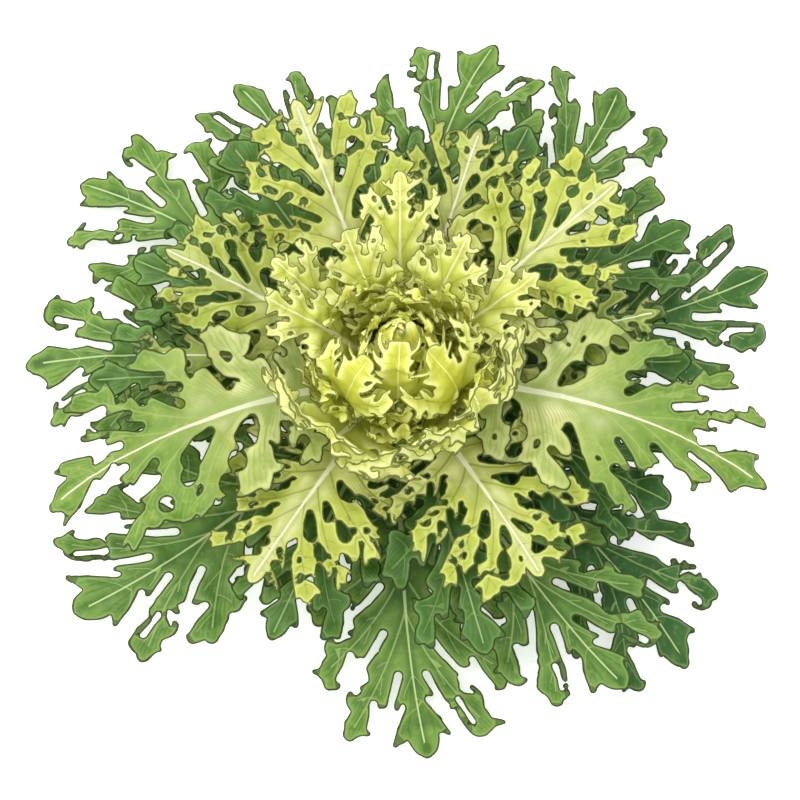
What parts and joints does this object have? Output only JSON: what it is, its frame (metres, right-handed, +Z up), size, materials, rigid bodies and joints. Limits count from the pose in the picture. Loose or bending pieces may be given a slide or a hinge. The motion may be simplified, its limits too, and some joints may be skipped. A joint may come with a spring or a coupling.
{
  "type": "curly endive head",
  "caption": "Whole curly endive salad head, cut at the stem: flat rosette of deeply lobed green leaves under laced yellow ones, round a pale curled heart.",
  "frame": {"origin": "middle of the flat cut face under the crown, which the head stands on", "axes": "+Z up along the crown's axis, -Y towards the viewer, +X to the viewer's right"},
  "size_m": [0.2978, 0.2917, 0.092],
  "materials": {
    "cut_stem": "matte",
    "outer_leaf": "satin",
    "under_leaf": "satin",
    "middle_leaf": "satin",
    "inner_leaf": "satin",
    "heart_leaf": "satin",
    "heart_bud": "satin"
  },
  "bodies": {
    "root": {"crown": "cut_stem", "outer_leaf_01": "outer_leaf", "outer_leaf_02": "outer_leaf", "outer_leaf_03": "outer_leaf", "outer_leaf_04": "outer_leaf", "outer_leaf_05": "outer_leaf", "outer_leaf_06": "outer_leaf", "outer_leaf_07": "outer_leaf", "outer_leaf_08": "outer_leaf", "outer_leaf_09": "outer_leaf", "outer_leaf_10": "outer_leaf", "under_leaf_01": "under_leaf", "under_leaf_02": "under_leaf", "under_leaf_03": "under_leaf", "under_leaf_04": "under_leaf", "under_leaf_05": "under_leaf", "under_leaf_06": "under_leaf", "under_leaf_07": "under_leaf", "under_leaf_08": "under_leaf", "under_leaf_09": "under_leaf", "under_leaf_10": "under_leaf", "middle_leaf_01": "middle_leaf", "middle_leaf_02": "middle_leaf", "middle_leaf_03": "middle_leaf", "middle_leaf_04": "middle_leaf", "middle_leaf_05": "middle_leaf", "middle_leaf_06": "middle_leaf", "middle_leaf_07": "middle_leaf", "middle_leaf_08": "middle_leaf", "middle_leaf_09": "middle_leaf", "middle_leaf_10": "middle_leaf", "inner_leaf_01": "inner_leaf", "inner_leaf_02": "inner_leaf", "inner_leaf_03": "inner_leaf", "inner_leaf_04": "inner_leaf", "inner_leaf_05": "inner_leaf", "inner_leaf_06": "inner_leaf", "inner_leaf_07": "inner_leaf", "inner_leaf_08": "inner_leaf", "heart_leaf_01": "heart_leaf", "heart_leaf_02": "heart_leaf", "heart_leaf_03": "heart_leaf", "heart_leaf_04": "heart_leaf", "heart_leaf_05": "heart_leaf", "heart_leaf_06": "heart_leaf", "heart_bud": "heart_bud"}
  },
  "joints": []
}
